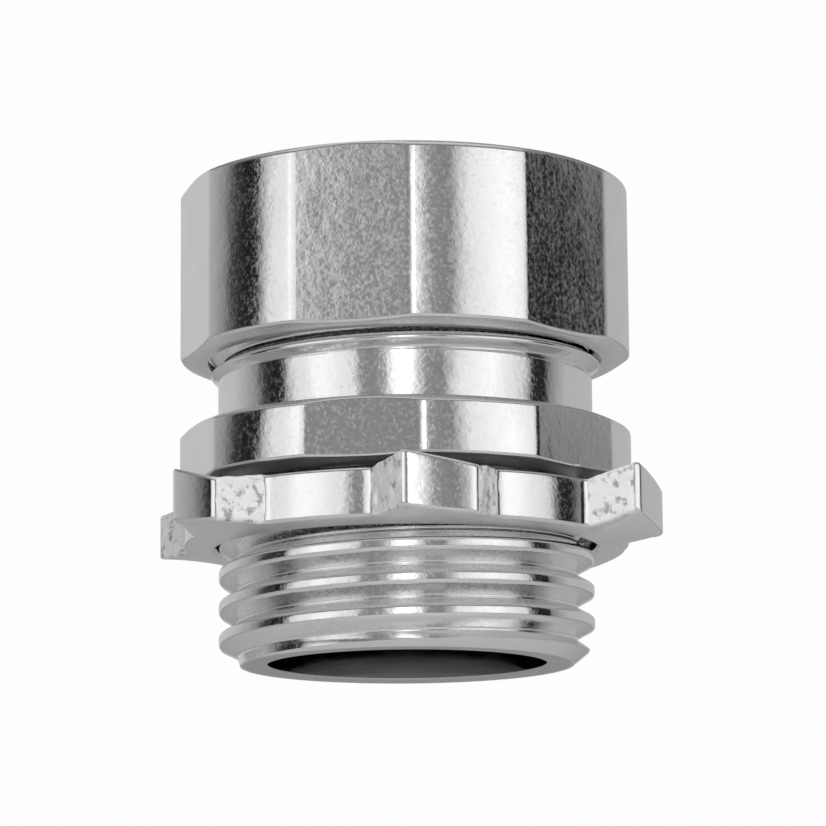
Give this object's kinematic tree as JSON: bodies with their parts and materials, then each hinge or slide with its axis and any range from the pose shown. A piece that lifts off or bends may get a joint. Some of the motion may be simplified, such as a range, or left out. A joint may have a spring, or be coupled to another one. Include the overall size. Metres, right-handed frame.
{
  "type": "conduit compression fitting",
  "caption": "Straight steel compression connector for thin-wall conduit: hexagonal gland nut and split ring over a flanged, threaded body with a lugged locknut.",
  "frame": {"origin": "centre of the end face of the conduit thread, on the fitting's axis", "axes": "+Z along the axis from the conduit thread to the gland nut; -Y is the front"},
  "size_m": [0.0282, 0.029, 0.0271],
  "materials": {
    "body_zinc": "bright zinc plated steel, lightly mottled",
    "nut_zinc": "bright zinc plated steel, lightly mottled",
    "ring_zinc": "zinc plated spring steel, satin",
    "locknut_zinc": "bright zinc plated steel with rough sheared edges on the lugs"
  },
  "bodies": {
    "connector_body": {"connector_body": "body_zinc"},
    "gland_ring": {"gland_ring": "ring_zinc"},
    "gland_nut": {"gland_nut": "nut_zinc"},
    "locknut": {"locknut": "locknut_zinc"}
  },
  "joints": [
    {"name": "ring_travel", "type": "slide", "parent": "connector_body", "child": "gland_ring", "axis": [0, 0, 1], "range_m": [-0.00021, 0.00508]},
    {"name": "nut_turn", "type": "hinge", "parent": "gland_ring", "child": "gland_nut", "pos_m": [0, 0, 0.02209], "axis": [0, 0, 1], "range_deg": [-75, 1455]},
    {"name": "locknut_travel", "type": "slide", "parent": "connector_body", "child": "locknut", "axis": [0, 0, -1], "range_m": [0, 0.00544]}
  ],
  "couplings": [
    {"joint": "nut_turn", "follows": "ring_travel", "rad_per_m": 4947.4}
  ]
}
